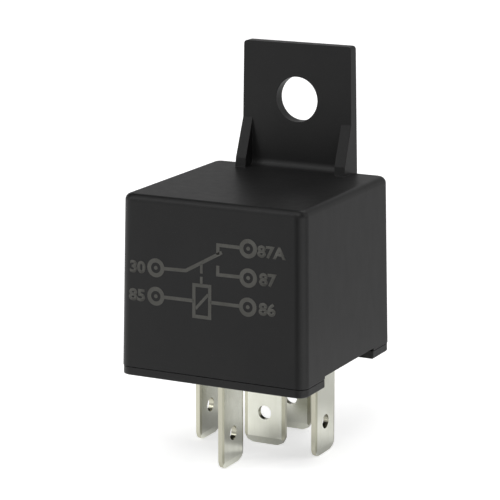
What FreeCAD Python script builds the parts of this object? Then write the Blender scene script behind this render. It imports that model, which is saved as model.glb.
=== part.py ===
import FreeCAD, Part
import math
import os
import re
import Sketcher

# Five-pin automotive relay with a mounting tab: case, magnet, armature and contacts.
# Millimetres. +X runs right along the face with the diagram, +Y runs into the depth, +Z is up.
# The origin lies in the plane of the blade tips, in the middle of the case.

# Driving sizes
SIZES = [
    # Case
    ("body_width", 28.0),
    ("body_depth", 28.4),
    ("body_height", 25.1),
    ("draft_angle", 1.0),
    ("corner_round", 1.45),
    ("top_round", 0.93),
    ("side_wall", 1.2),
    ("roof_wall", 1.3),
    ("inner_round", 0.4),
    ("seam_height", 1.25),
    ("seam_gap", 0.12),
    # Mounting tab
    ("tab_root_width", 17.0),
    ("tab_top_width", 16.5),
    ("tab_height", 17.8),
    ("tab_thickness", 2.0),
    ("tab_proud", 0.4),
    ("tab_footing", 5.0),
    ("tab_round", 0.5),
    ("tab_hole_width", 6.4),
    ("tab_hole_height", 9.9),
    ("tab_cove", 1.1),
    ("gusset_width", 1.6),
    ("gusset_height", 6.85),
    ("gusset_reach", 2.3),
    ("gusset_step", 1.3),
    ("edge_round", 0.2),
    # Base
    ("rail_height", 1.6),
    ("rail_inset", 0.06),
    ("front_rail", 6.35),
    ("rear_rail", 6.0),
    ("plate_thickness", 2.8),
    ("plug_gap", 0.05),
    ("plug_round", 0.6),
    ("slot_gap", 0.03),
    ("channel_gap", 0.1),
    ("lug_width", 1.2),
    ("lug_depth", 5.0),
    ("lug_height", 1.3),
    ("latch_width", 6.0),
    ("latch_rise", 1.3),
    ("latch_height", 1.0),
    ("latch_reach", 0.3),
    ("latch_gap", 0.1),
    # Blades
    ("blade_length", 12.65),
    ("blade_width", 6.3),
    ("strip_thickness", 0.8),
    ("blade_corner", 1.25),
    ("tip_bevel", 1.0),
    ("tip_edge", 0.35),
    ("side_bevel", 0.5),
    ("side_edge", 0.6),
    ("blade_hole_width", 2.0),
    ("blade_hole_height", 4.6),
    ("side_pitch", 9.0),
    ("side_ahead", 0.3),
    ("row_pitch", 8.4),
    ("rear_clear", 2.0),
    ("front_edge", 6.0),
    # Inner strips
    ("bend_inside", 0.3),
    ("riser_width", 5.0),
    ("arm_width", 3.4),
    ("arm_side", 10.3),
    ("arm_past", 1.9),
    ("strip_sink", 1.4),
    ("tag_width", 1.8),
    ("tag_height", 4.4),
    ("tenon_width", 2.0),
    ("tenon_place", 1.8),
    # Magnet
    ("hinge_clear", 3.1),
    ("yoke_thickness", 1.5),
    ("yoke_width", 11.0),
    ("foot_width", 10.0),
    ("foot_past", 4.2),
    ("coil_gap", 0.4),
    ("flange_rim", 0.9),
    ("flange_thickness", 1.0),
    ("winding_ratio", 2.1),
    ("tube_wall", 0.8),
    ("core_shoulder", 1.0),
    ("core_gap", 0.05),
    ("pole_width", 8.6),
    ("pole_thickness", 0.9),
    ("winding_gap", 0.05),
    ("tape_thickness", 0.15),
    ("ear_reach", 10.3),
    ("ear_width", 3.6),
    ("lead_width", 0.3),
    ("solder_width", 1.2),
    # Armature and contacts
    ("stroke_angle", 3.3),
    ("pivot_gap", 0.05),
    ("armature_thickness", 1.3),
    ("armature_front", 1.1),
    ("armature_past", 1.3),
    ("guide_place", 2.6),
    ("guide_width", 1.4),
    ("guide_height", 1.2),
    ("guide_gap", 0.2),
    ("leaf_thickness", 0.3),
    ("leaf_width", 6.0),
    ("leaf_tip", 4.2),
    ("leaf_start", 5.6),
    ("leaf_past", 1.9),
    ("rivet_shank", 1.4),
    ("rivet_head", 2.3),
    ("rivet_rise", 0.4),
    ("rivet_pitch", 4.4),
    ("riser_offset", 2.7),
    ("contact_clear", 0.4),
    ("contact_width", 3.0),
    ("contact_shank", 1.6),
    ("contact_below", 0.9),
    ("contact_above", 0.7),
    ("contact_crown", 0.12),
    ("contact_gap", 0.08),
    ("fixed_height", 0.8),
    ("hanging_height", 0.6),
    ("tail_rivet", 0.3),
    ("head_room", 0.55),
    # Return spring
    ("spring_offset", 1.25),
    ("spring_radius", 0.85),
    ("spring_wire", 0.35),
    ("spring_turns", 5.0),
    ("spring_steps", 10.0),
    ("spring_leg", 1.1),
    ("hook_rise", 0.53),
    ("hook_lug_rise", 4.9),
    ("hook_lug_width", 3.2),
    ("hook_thickness", 0.8),
    ("hook_front", 0.3),
    ("hook_back", 0.35),
    ("hook_hole", 0.8),
]

# Sizes that follow from the driving ones
DERIVED = [
    # Levels of the case
    ("seam_level", "blade_length + seam_height"),
    ("under_level", "blade_length + rail_height"),
    ("plate_level", "under_level + plate_thickness"),
    ("case_top", "blade_length + body_height"),
    ("ceiling_level", "case_top - roof_wall"),
    ("tab_top", "case_top + tab_height"),
    ("tab_hole_level", "case_top + tab_hole_height"),
    # Outlines of the case
    ("rim_width", "body_width - 2 * seam_height * tan(draft_angle)"),
    ("rim_depth", "body_depth - 2 * seam_height * tan(draft_angle)"),
    ("top_depth", "body_depth - 2 * body_height * tan(draft_angle)"),
    ("plug_width", "rim_width - 2 * side_wall - 2 * plug_gap - 2 * (plate_level - seam_level) * tan(draft_angle)"),
    ("plug_depth", "rim_depth - 2 * side_wall - 2 * plug_gap - 2 * (plate_level - seam_level) * tan(draft_angle)"),
    ("tab_back", "top_depth / 2 + tab_proud"),
    ("tab_front", "tab_back - tab_thickness"),
    ("latch_level", "under_level + latch_rise"),
    # Places along the depth, from the walls inwards
    ("front_place", "body_depth / 2 - front_edge"),
    ("hinge_offset", "body_depth / 2 - side_wall - hinge_clear"),
    ("rear_place", "body_depth / 2 - side_wall - rear_clear"),
    ("row_place", "rear_place - row_pitch"),
    ("side_place", "row_place - side_ahead"),
    ("contact_place", "rear_place - riser_offset"),
    ("coil_front", "-hinge_offset + yoke_thickness + coil_gap"),
    ("flange_width", "contact_place - contact_width / 2 - contact_clear - coil_front"),
    ("winding_width", "flange_width - 2 * flange_rim"),
    ("core_width", "winding_width / winding_ratio"),
    ("core_tenon", "core_width - 2 * core_shoulder"),
    ("bobbin_tube", "core_width + 2 * tube_wall"),
    # Contacts, from the roof down
    ("arm_level", "ceiling_level - head_room - strip_thickness"),
    ("upper_face", "arm_level - hanging_height"),
    ("contact_reach", "contact_place + hinge_offset"),
    ("leaf_level", "pivot_gap + armature_thickness"),
    ("moving_top", "leaf_level + leaf_thickness + contact_above"),
    ("moving_rise", "(contact_reach + contact_width / 2) * sin(stroke_angle) + moving_top * cos(stroke_angle)"),
    ("hinge_level", "upper_face - contact_gap - moving_rise"),
    ("lower_face", "hinge_level + leaf_level - contact_below - contact_gap"),
    ("pad_top", "lower_face - fixed_height"),
    ("pad_level", "pad_top - strip_thickness"),
    # Magnet, between the plate and the hinge
    ("foot_top", "plate_level + yoke_thickness"),
    ("pole_face", "hinge_level - pivot_gap"),
    ("bobbin_top", "pole_face - pole_thickness"),
    ("winding_low", "foot_top + flange_thickness"),
    ("winding_high", "bobbin_top - flange_thickness"),
    ("coil_place", "coil_front + flange_width / 2"),
    ("tape_width", "winding_width + 2 * tape_thickness"),
    ("lead_level", "winding_low + solder_width / 2 + 0.2"),
    ("armature_length", "coil_place + hinge_offset + pole_width / 2 + armature_past"),
    ("strip_floor", "plate_level - strip_sink"),
    # Return spring
    ("spring_place", "-hinge_offset - spring_offset"),
    ("lug_level", "plate_level + hook_lug_rise"),
    ("tail_top", "pivot_gap + hook_thickness"),
    ("tail_drop", "(spring_offset - hook_back) * sin(stroke_angle)"),
    ("high_hook", "hinge_level + tail_top * cos(stroke_angle) - tail_drop - hook_rise"),
    ("low_hook", "lug_level + hook_rise"),
    ("spring_low", "low_hook + spring_leg"),
    ("spring_high", "high_hook - spring_leg"),
]

os.makedirs("parts", exist_ok=True)
doc = FreeCAD.newDocument("automotive_relay")


# Spreadsheet
sheet = doc.addObject("Spreadsheet::Sheet", "Sizes")


def write_sheet():
    """Write every size in a row of its own, with its name as the cell's alias."""
    row = 1
    for name, value in SIZES:
        sheet.set(f"A{row}", name)
        sheet.set(f"B{row}", str(value))
        sheet.setAlias(f"B{row}", name)
        row += 1
    for name, text in DERIVED:
        sheet.set(f"A{row}", name)
        sheet.set(f"B{row}", "=" + text)
        sheet.setAlias(f"B{row}", name)
        row += 1
    doc.recompute()


def formula(text):
    """Put the sheet's name before each size in the text; every size has an underscore."""
    return re.sub(r"\b([a-z]+_[a-z_]+)\b", r"Sizes.\1", text)


def number(text):
    """Work out a formula."""
    return float(sheet.evalExpression(formula(text)))


# Bodies and sketches
def new_body(label, x="0", y="0", z="0", turn="0"):
    """Start a sub-part, placed by formulas and turned about Z by an angle."""
    body = doc.addObject("PartDesign::Body", label)
    body.Label = label
    body.setExpression("Placement.Base.x", formula(x))
    body.setExpression("Placement.Base.y", formula(y))
    body.setExpression("Placement.Base.z", formula(z))
    body.setExpression("Placement.Rotation.Angle", formula(turn))
    return body


def swinging_body(label):
    """Start a sub-part of the armature: its origin lies on the hinge, and it is tilted open."""
    body = doc.addObject("PartDesign::Body", label)
    body.Label = label
    body.Placement = FreeCAD.Placement(FreeCAD.Vector(0, 0, 0), FreeCAD.Rotation(FreeCAD.Vector(1, 0, 0), 1))
    body.setExpression("Placement.Base.y", formula("-hinge_offset"))
    body.setExpression("Placement.Base.z", formula("hinge_level"))
    body.setExpression("Placement.Rotation.Angle", formula("stroke_angle"))
    return body


def origin_part(body, role):
    """Find a plane or an axis of the body's own origin."""
    for feature in body.Origin.OriginFeatures:
        if feature.Role == role:
            return feature


def sketch_on(body, name, role, height="0"):
    """Start a sketch on an origin plane, raised along the plane's normal."""
    sketch = body.newObject("Sketcher::SketchObject", name)
    sketch.AttachmentSupport = [(origin_part(body, role), "")]
    sketch.MapMode = "FlatFace"
    sketch.setExpression("AttachmentOffset.Base.z", formula(height))
    return sketch


def hold(sketch, geometry, point, x, y):
    """Hold a point of a sketch at a place given by two formulas."""
    if x == "0":
        sketch.addConstraint(Sketcher.Constraint("PointOnObject", geometry, point, -2))
    else:
        index = sketch.addConstraint(Sketcher.Constraint("DistanceX", -1, 1, geometry, point, number(x)))
        sketch.setExpression(f"Constraints[{index}]", formula(x))
    if y == "0":
        sketch.addConstraint(Sketcher.Constraint("PointOnObject", geometry, point, -1))
    else:
        index = sketch.addConstraint(Sketcher.Constraint("DistanceY", -1, 1, geometry, point, number(y)))
        sketch.setExpression(f"Constraints[{index}]", formula(y))


def outline(sketch, corners):
    """Draw a closed outline of straight lines through corners given as pairs of formulas."""
    places = [FreeCAD.Vector(number(x), number(y), 0) for x, y in corners]
    first = sketch.GeometryCount
    count = len(places)
    for index in range(count):
        sketch.addGeometry(Part.LineSegment(places[index], places[(index + 1) % count]), False)
    for index in range(count):
        following = first + (index + 1) % count
        sketch.addConstraint(Sketcher.Constraint("Coincident", first + index, 2, following, 1))
    for index, (x, y) in enumerate(corners):
        hold(sketch, first + index, 1, x, y)


def rectangle(sketch, left, right, low, high):
    """Draw a rectangle between four formulas."""
    outline(sketch, [(left, low), (right, low), (right, high), (left, high)])


def circle(sketch, x, y, width):
    """Draw a circle with its centre and its width given by formulas."""
    centre = FreeCAD.Vector(number(x), number(y), 0)
    index = sketch.addGeometry(Part.Circle(centre, FreeCAD.Vector(0, 0, 1), number(width) / 2), False)
    hold(sketch, index, 3, x, y)
    size = sketch.addConstraint(Sketcher.Constraint("Diameter", index, number(width)))
    sketch.setExpression(f"Constraints[{size}]", formula(width))


# Features
def extrude(body, kind, name, sketch, length, both=False, back=False):
    """Pad or pocket a sketch; a pocket without a length goes through all."""
    feature = body.newObject("PartDesign::" + kind, name)
    feature.Profile = sketch
    feature.Reversed = back
    if both:
        feature.SideType = "Symmetric"
    if length is None:
        feature.Type = "ThroughAll"
    else:
        feature.setExpression("Length", formula(length))
    doc.recompute()
    return feature


def revolve(body, name, sketch, axis="V_Axis"):
    """Turn a sketch fully about one of its own axes."""
    feature = body.newObject("PartDesign::Revolution", name)
    feature.Profile = sketch
    feature.ReferenceAxis = (sketch, [axis])
    feature.Angle = 360
    doc.recompute()
    return feature


def edges_at(feature, x=None, y=None, z=None, along=None, near=0.02):
    """Name the edges whose middle lies at the given places, and that run along a given axis."""
    names = []
    for index, edge in enumerate(feature.Shape.Edges, 1):
        middle = edge.CenterOfMass
        start = edge.Vertexes[0].Point
        end = edge.Vertexes[-1].Point
        wanted = True
        for place, value in ((x, middle.x), (y, middle.y), (z, middle.z)):
            if place is not None:
                wanted = wanted and min(abs(value - number(one)) for one in place) < near
        if along is not None:
            step = end - start
            main = abs(getattr(step, along))
            wanted = wanted and main > 0.95 * step.Length and step.Length > 0.01
        if wanted:
            names.append(f"Edge{index}")
    return names


def faces_at(feature, x=None, y=None, z=None, near=0.02):
    """Name the faces whose middle lies at the given places."""
    names = []
    for index, face in enumerate(feature.Shape.Faces, 1):
        middle = face.CenterOfMass
        wanted = True
        for place, value in ((x, middle.x), (y, middle.y), (z, middle.z)):
            if place is not None:
                wanted = wanted and min(abs(value - number(one)) for one in place) < near
        if wanted:
            names.append(f"Face{index}")
    return names


def lean(body, name, base, faces, level_face, outwards=False):
    """Lean upright faces by the mould's draft angle, about the face that keeps its size."""
    if not faces or not level_face:
        raise ValueError("no face for " + name)
    feature = body.newObject("PartDesign::Draft", name)
    feature.Base = (base, faces)
    feature.NeutralPlane = (base, level_face)
    feature.Reversed = outwards
    feature.setExpression("Angle", formula("draft_angle"))
    doc.recompute()
    return feature


def dress(body, kind, name, base, edges, size):
    """Round or chamfer edges of a feature; it fails when there is no edge."""
    if not edges:
        raise ValueError("no edge for " + name)
    feature = body.newObject("PartDesign::" + kind, name)
    feature.Base = (base, edges)
    if kind == "Fillet":
        feature.setExpression("Radius", formula(size))
    else:
        feature.setExpression("Size", formula(size))
    doc.recompute()
    return feature


# Case
def make_cover():
    """The moulded cover: a drafted shell, open below, with the mounting tab on its rear edge."""
    body = new_body("cover")
    rim = sketch_on(body, "cover_rim", "XY_Plane", "seam_level")
    rectangle(rim, "-rim_width / 2", "rim_width / 2", "-rim_depth / 2", "rim_depth / 2")
    straight = extrude(body, "Pad", "cover_block", rim, "case_top - seam_level")
    sides = faces_at(straight, z=["(case_top + seam_level) / 2"])
    block = lean(body, "cover_draft", straight, sides, faces_at(straight, z=["seam_level"]))
    corners = edges_at(block, z=["(case_top + seam_level) / 2"], along="z")
    rounded = dress(body, "Fillet", "cover_corners", block, corners, "corner_round")
    top_edges = edges_at(rounded, z=["case_top"])
    softened = dress(body, "Fillet", "cover_top_edges", rounded, top_edges, "top_round")

    # Hollow from below
    inside = sketch_on(body, "cover_inside", "XY_Plane", "seam_level")
    half_width = "rim_width / 2 - side_wall"
    half_depth = "rim_depth / 2 - side_wall"
    rectangle(inside, "-(" + half_width + ")", half_width, "-(" + half_depth + ")", half_depth)
    cavity = extrude(body, "Pocket", "cover_hollow", inside, "ceiling_level - seam_level", back=True)
    walls = []
    for place in ("-(" + half_width + ")", half_width):
        walls += faces_at(cavity, x=[place], z=["(ceiling_level + seam_level) / 2"])
    for place in ("-(" + half_depth + ")", half_depth):
        walls += faces_at(cavity, y=[place], z=["(ceiling_level + seam_level) / 2"])
    hollow = lean(body, "cover_hollow_draft", cavity, walls, faces_at(cavity, z=["seam_level"]), outwards=True)
    inner = edges_at(hollow, z=["(ceiling_level + seam_level) / 2"], along="z", near=0.05)
    inner_round = dress(body, "Fillet", "cover_inner_corners", hollow, inner, "inner_round")

    # Tab: its back leans like the rear wall, stands proud of it and runs out into it below the roof
    profile = sketch_on(body, "tab_profile", "YZ_Plane")
    outline(profile, [
        ("tab_front", "case_top - roof_wall / 2"),
        ("top_depth / 2 - side_wall / 2", "case_top - roof_wall / 2"),
        ("top_depth / 2 - side_wall / 2", "case_top - tab_footing"),
        ("top_depth / 2 + tab_footing * tan(draft_angle)", "case_top - tab_footing"),
        ("tab_back", "case_top"),
        ("tab_back - tab_height * tan(draft_angle)", "tab_top"),
        ("tab_front", "tab_top"),
    ])
    extrude(body, "Pad", "tab_plate", profile, "tab_root_width", both=True)

    # Gussets at both edges of the tab
    for side, name in (("-", "left"), ("", "right")):
        side_sketch = sketch_on(body, "gusset_" + name, "YZ_Plane",
                                side + "(tab_root_width - gusset_width) / 2")
        outline(side_sketch, [
            ("tab_front + tab_thickness / 2", "case_top - roof_wall / 2"),
            ("tab_front - gusset_reach", "case_top - roof_wall / 2"),
            ("tab_front - gusset_reach", "case_top"),
            ("tab_front - gusset_reach + 0.15", "case_top + gusset_step"),
            ("tab_front", "case_top + gusset_height"),
            ("tab_front + tab_thickness / 2", "case_top + gusset_height"),
        ])
        extrude(body, "Pad", "gusset_rib_" + name, side_sketch, "gusset_width", both=True)

    # The tab narrows towards its top
    flanks = sketch_on(body, "tab_flanks", "XZ_Plane")
    for side in ("", "-"):
        outline(flanks, [
            (side + "(tab_root_width / 2)", "case_top"),
            (side + "(tab_top_width / 2)", "tab_top"),
            (side + "(tab_top_width / 2)", "tab_top + 0.5"),
            (side + "(tab_root_width / 2 + 0.5)", "tab_top + 0.5"),
            (side + "(tab_root_width / 2 + 0.5)", "case_top"),
        ])
    tab = extrude(body, "Pocket", "tab_flank_cuts", flanks, None, both=True)

    # Cove where the tab meets the roof, then the hole and the rounded corners
    cove_edges = edges_at(tab, x=["0"], y=["tab_front"], z=["case_top"], along="x")
    coved = dress(body, "Fillet", "tab_root_cove", tab, cove_edges, "tab_cove")
    hole = sketch_on(body, "tab_hole", "XZ_Plane")
    circle(hole, "0", "tab_hole_level", "tab_hole_width")
    drilled = extrude(body, "Pocket", "tab_bore", hole, None)
    tab_corners = edges_at(drilled, x=["-tab_top_width / 2", "tab_top_width / 2"], z=["tab_top"], along="y")
    tab_round = dress(body, "Fillet", "tab_corners", drilled, tab_corners, "tab_round")

    # The side walls stop at the underside of the plate between the rails
    notch = sketch_on(body, "cover_side_cut", "YZ_Plane")
    rectangle(notch, "-body_depth / 2 + front_rail", "body_depth / 2 - rear_rail", "blade_length", "under_level")
    extrude(body, "Pocket", "cover_side_notch", notch, None, both=True)

    # Pockets in the side walls for the latches of the base
    latch = sketch_on(body, "cover_latch", "XZ_Plane")
    reach = "plug_width / 2 + latch_reach + latch_gap"
    rectangle(latch, "-(" + reach + ")", reach,
              "latch_level - latch_gap", "latch_level + latch_height + latch_gap")
    extrude(body, "Pocket", "cover_latch_pockets", latch, "latch_width + 2 * latch_gap", both=True)
    return body


def make_base():
    """The moulded base: a plate that plugs into the cover, with a rail below its front and rear."""
    body = new_body("base")
    rail = sketch_on(body, "base_rail", "XY_Plane", "blade_length")
    width = "body_width / 2 - rail_inset"
    depth = "body_depth / 2 - rail_inset"
    rectangle(rail, "-(" + width + ")", width, "-(" + depth + ")", depth)
    straight = extrude(body, "Pad", "base_rails", rail, "seam_height - seam_gap")
    sides = faces_at(straight, z=["blade_length + (seam_height - seam_gap) / 2"])
    rails = lean(body, "base_rail_draft", straight, sides, faces_at(straight, z=["blade_length"]))
    rail_corners = edges_at(rails, z=["blade_length + (seam_height - seam_gap) / 2"], along="z")
    rounded = dress(body, "Fillet", "base_rail_corners", rails, rail_corners, "corner_round")
    low_edges = edges_at(rounded, z=["blade_length"])
    dress(body, "Fillet", "base_rail_edges", rounded, low_edges, "edge_round")

    plug = sketch_on(body, "base_plug_outline", "XY_Plane", "blade_length + seam_height / 2")
    rectangle(plug, "-plug_width / 2", "plug_width / 2", "-plug_depth / 2", "plug_depth / 2")
    plate = extrude(body, "Pad", "base_plug", plug, "plate_level - blade_length - seam_height / 2")
    plug_corners = edges_at(plate, x=["-plug_width / 2", "plug_width / 2"],
                            y=["-plug_depth / 2", "plug_depth / 2"], along="z")
    dress(body, "Fillet", "base_plug_corners", plate, plug_corners, "plug_round")

    # The rails end in front of and behind the blades of the middle row
    notch = sketch_on(body, "base_notch", "YZ_Plane")
    rectangle(notch, "-body_depth / 2 + front_rail", "body_depth / 2 - rear_rail",
              "blade_length - 1", "under_level")
    extrude(body, "Pocket", "base_side_notch", notch, None, both=True)

    # Slots for the five blades
    slots = sketch_on(body, "base_slots", "XY_Plane", "plate_level + 1")
    long_half = "blade_width / 2 + slot_gap"
    short_half = "strip_thickness / 2 + slot_gap"
    for x, y, turned in (("0", "-front_place", True), ("-side_pitch", "side_place", True),
                         ("side_pitch", "side_place", True), ("0", "row_place", False),
                         ("0", "rear_place", False)):
        across = short_half if turned else long_half
        deep = long_half if turned else short_half
        rectangle(slots, f"{x} - ({across})", f"{x} + {across}", f"{y} - ({deep})", f"{y} + {deep}")
    extrude(body, "Pocket", "base_blade_slots", slots, None)

    # Channel for the strip that leaves the middle blade
    channel = sketch_on(body, "base_channel", "XY_Plane", "plate_level")
    strip_corners(channel, "channel_gap", "row_place")
    extrude(body, "Pocket", "base_strip_channel", channel, "strip_sink")

    # Lugs that hold the foot of the yoke from both sides
    lugs = sketch_on(body, "base_lugs", "XY_Plane", "plate_level - 0.5")
    inner = "foot_width / 2 + channel_gap"
    outer = "foot_width / 2 + channel_gap + lug_width"
    start = "-hinge_offset + yoke_thickness + 1"
    rectangle(lugs, inner, outer, start, start + " + lug_depth")
    rectangle(lugs, "-(" + outer + ")", "-(" + inner + ")", start, start + " + lug_depth")
    extrude(body, "Pad", "base_yoke_lugs", lugs, "lug_height + 0.5")

    # Latch noses on both sides of the plug
    nose = sketch_on(body, "base_nose", "XZ_Plane")
    for side in ("", "-"):
        outline(nose, [
            (side + "(plug_width / 2 - 0.3)", "latch_level"),
            (side + "(plug_width / 2 + latch_reach)", "latch_level"),
            (side + "(plug_width / 2 + latch_reach)", "latch_level + latch_height / 3"),
            (side + "(plug_width / 2)", "latch_level + latch_height"),
            (side + "(plug_width / 2 - 0.3)", "latch_level + latch_height"),
        ])
    extrude(body, "Pad", "base_latch_noses", nose, "latch_width", both=True)
    return body


# Terminals
def make_blade(body):
    """The plug-in blade: bevelled on both edges and at the tip, with cut corners and a hole.

    It lies in the body's own XZ plane, with its tip at Z zero."""
    section = sketch_on(body, "blade_section", "XY_Plane")
    outline(section, [
        ("-blade_width / 2", "-side_edge / 2"),
        ("-blade_width / 2 + side_bevel", "-strip_thickness / 2"),
        ("blade_width / 2 - side_bevel", "-strip_thickness / 2"),
        ("blade_width / 2", "-side_edge / 2"),
        ("blade_width / 2", "side_edge / 2"),
        ("blade_width / 2 - side_bevel", "strip_thickness / 2"),
        ("-blade_width / 2 + side_bevel", "strip_thickness / 2"),
        ("-blade_width / 2", "side_edge / 2"),
    ])
    extrude(body, "Pad", "blade", section, "under_level + 0.2")

    corners = sketch_on(body, "blade_corner_cuts", "XZ_Plane")
    for side in ("", "-"):
        outline(corners, [
            (side + "(blade_width / 2 - blade_corner)", "-0.5"),
            (side + "(blade_width / 2 + 0.5)", "-0.5"),
            (side + "(blade_width / 2 + 0.5)", "blade_corner"),
            (side + "(blade_width / 2)", "blade_corner"),
            (side + "(blade_width / 2 - blade_corner * 0.35)", "blade_corner * 0.3"),
            (side + "(blade_width / 2 - blade_corner)", "0"),
        ])
    extrude(body, "Pocket", "blade_corners", corners, "2 * strip_thickness", both=True)

    wedge = sketch_on(body, "blade_tip_cuts", "YZ_Plane")
    for side in ("", "-"):
        outline(wedge, [
            (side + "(tip_edge / 2)", "0"),
            (side + "(tip_edge / 2)", "-0.5"),
            (side + "(strip_thickness)", "-0.5"),
            (side + "(strip_thickness)", "tip_bevel"),
            (side + "(strip_thickness / 2)", "tip_bevel"),
        ])
    extrude(body, "Pocket", "blade_tip", wedge, "blade_width + 1", both=True)

    hole = sketch_on(body, "blade_hole_place", "XZ_Plane")
    circle(hole, "0", "blade_hole_height", "blade_hole_width")
    extrude(body, "Pocket", "blade_hole", hole, "2 * strip_thickness", both=True)


def make_shank(body, top):
    """The plain strip above the blade, up to a level."""
    shank = sketch_on(body, "shank_section", "XY_Plane", "under_level - 0.6")
    rectangle(shank, "-blade_width / 2", "blade_width / 2", "-strip_thickness / 2", "strip_thickness / 2")
    return extrude(body, "Pad", "shank", shank, top + " - under_level + 0.6")


def make_common_terminal():
    """Terminal 30: its blade stands across the front face, with a tenon staked into the yoke."""
    body = new_body("terminal_30", y="-front_place", turn="90")
    make_blade(body)
    make_shank(body, "plate_level")
    tenon = sketch_on(body, "tenon_section", "XY_Plane", "plate_level - 0.5")
    rectangle(tenon, "tenon_place - tenon_width / 2", "tenon_place + tenon_width / 2",
              "-strip_thickness / 2", "strip_thickness / 2")
    extrude(body, "Pad", "tenon", tenon, "yoke_thickness + 0.5 - core_gap")
    return body


def make_coil_terminal(label, side):
    """Terminals 85 and 86: a blade with a narrow tag above, where the coil's wire ends."""
    body = new_body(label, x=side + "side_pitch", y="side_place", turn="90")
    make_blade(body)
    make_shank(body, "plate_level")
    tag = sketch_on(body, "tag_section", "XY_Plane", "plate_level - 0.5")
    rectangle(tag, "-tag_width / 2", "tag_width / 2", "-strip_thickness / 2", "strip_thickness / 2")
    raised = extrude(body, "Pad", "tag", tag, "tag_height + 0.5")
    tops = edges_at(raised, x=["-tag_width / 2", "tag_width / 2"], z=["plate_level + tag_height"], along="y")
    dress(body, "Chamfer", "tag_corners", raised, tops, "tag_width / 5")
    return body


def make_open_terminal():
    """Terminal 87: a blade that rises behind the coil and folds forward under the moving contact."""
    body = new_body("terminal_87", y="rear_place")
    make_blade(body)
    make_shank(body, "plate_level")
    profile = sketch_on(body, "riser_profile", "YZ_Plane")
    front = "contact_place - contact_width / 2 - 0.1 - rear_place"
    outline(profile, [
        ("-strip_thickness / 2", "plate_level - 0.5"),
        ("strip_thickness / 2", "plate_level - 0.5"),
        ("strip_thickness / 2", "pad_top"),
        (front, "pad_top"),
        (front, "pad_level"),
        ("-strip_thickness / 2", "pad_level"),
    ])
    riser = extrude(body, "Pad", "riser", profile, "riser_width", both=True)
    outside = edges_at(riser, y=["strip_thickness / 2"], z=["pad_top"], along="x")
    bent = dress(body, "Fillet", "bend_outside", riser, outside, "bend_inside + strip_thickness")
    inside = edges_at(bent, y=["-strip_thickness / 2"], z=["pad_level"], along="x")
    dress(body, "Fillet", "bend_inside_edge", bent, inside, "bend_inside")
    bore = sketch_on(body, "contact_bore", "XY_Plane", "pad_top + 1")
    circle(bore, "0", "contact_place - rear_place", "contact_shank + 2 * core_gap")
    extrude(body, "Pocket", "contact_hole", bore, "strip_thickness + 2")
    return body


def strip_corners(sketch, gap, origin):
    """Outline of the strip that runs from the middle blade to the left and the rear.

    The gap widens it; origin is the place of the strip's own zero along the depth."""
    half = "arm_width / 2"
    rear = f"{origin} - row_place + contact_place + {half} + {gap}"
    step = f"{origin} - row_place + contact_place - {half} - {gap}"
    front = f"{origin} - strip_thickness / 2 - {gap}"
    outline(sketch, [
        (f"-blade_width / 2 - {gap}", front),
        (f"blade_width / 2 + {gap}", front),
        (f"blade_width / 2 + {gap}", f"{rear} - blade_width / 4"),
        (f"blade_width / 4 + {gap}", rear),
        (f"-arm_side - {gap}", rear),
        (f"-arm_side - {gap}", step),
        (f"-blade_width / 2 - {gap}", step),
    ])


def make_closed_terminal():
    """Terminal 87a: the middle blade, whose strip runs aside in the base, up, and over the contact."""
    body = new_body("terminal_87a", y="row_place")
    make_blade(body)
    make_shank(body, "strip_floor + strip_thickness")
    low = sketch_on(body, "low_strip_outline", "XY_Plane", "strip_floor")
    strip_corners(low, "0 * channel_gap", "0 * row_place")
    flat = extrude(body, "Pad", "low_strip", low, "strip_thickness")

    # The upright and the arm are one strip folded twice
    profile = sketch_on(body, "arm_profile", "XZ_Plane", "row_place - contact_place")
    outline(profile, [
        ("-arm_side", "strip_floor"),
        ("-arm_side + 2 * strip_thickness", "strip_floor"),
        ("-arm_side + 2 * strip_thickness", "strip_floor + strip_thickness"),
        ("-arm_side + strip_thickness", "strip_floor + strip_thickness"),
        ("-arm_side + strip_thickness", "arm_level"),
        ("arm_past", "arm_level"),
        ("arm_past", "arm_level + strip_thickness"),
        ("-arm_side", "arm_level + strip_thickness"),
    ])
    arm = extrude(body, "Pad", "arm", profile, "arm_width", both=True)
    outside = edges_at(arm, x=["-arm_side"], z=["strip_floor", "arm_level + strip_thickness"], along="y")
    bent = dress(body, "Fillet", "bends_outside", arm, outside, "bend_inside + strip_thickness")
    inside = edges_at(bent, x=["-arm_side + strip_thickness"],
                      z=["strip_floor + strip_thickness", "arm_level"], along="y")
    dress(body, "Fillet", "bends_inside", bent, inside, "bend_inside")
    bore = sketch_on(body, "contact_bore", "XY_Plane", "arm_level + 2")
    circle(bore, "0", "contact_place - row_place", "contact_shank + 2 * core_gap")
    extrude(body, "Pocket", "contact_hole", bore, "strip_thickness + 2")
    return body


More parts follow.
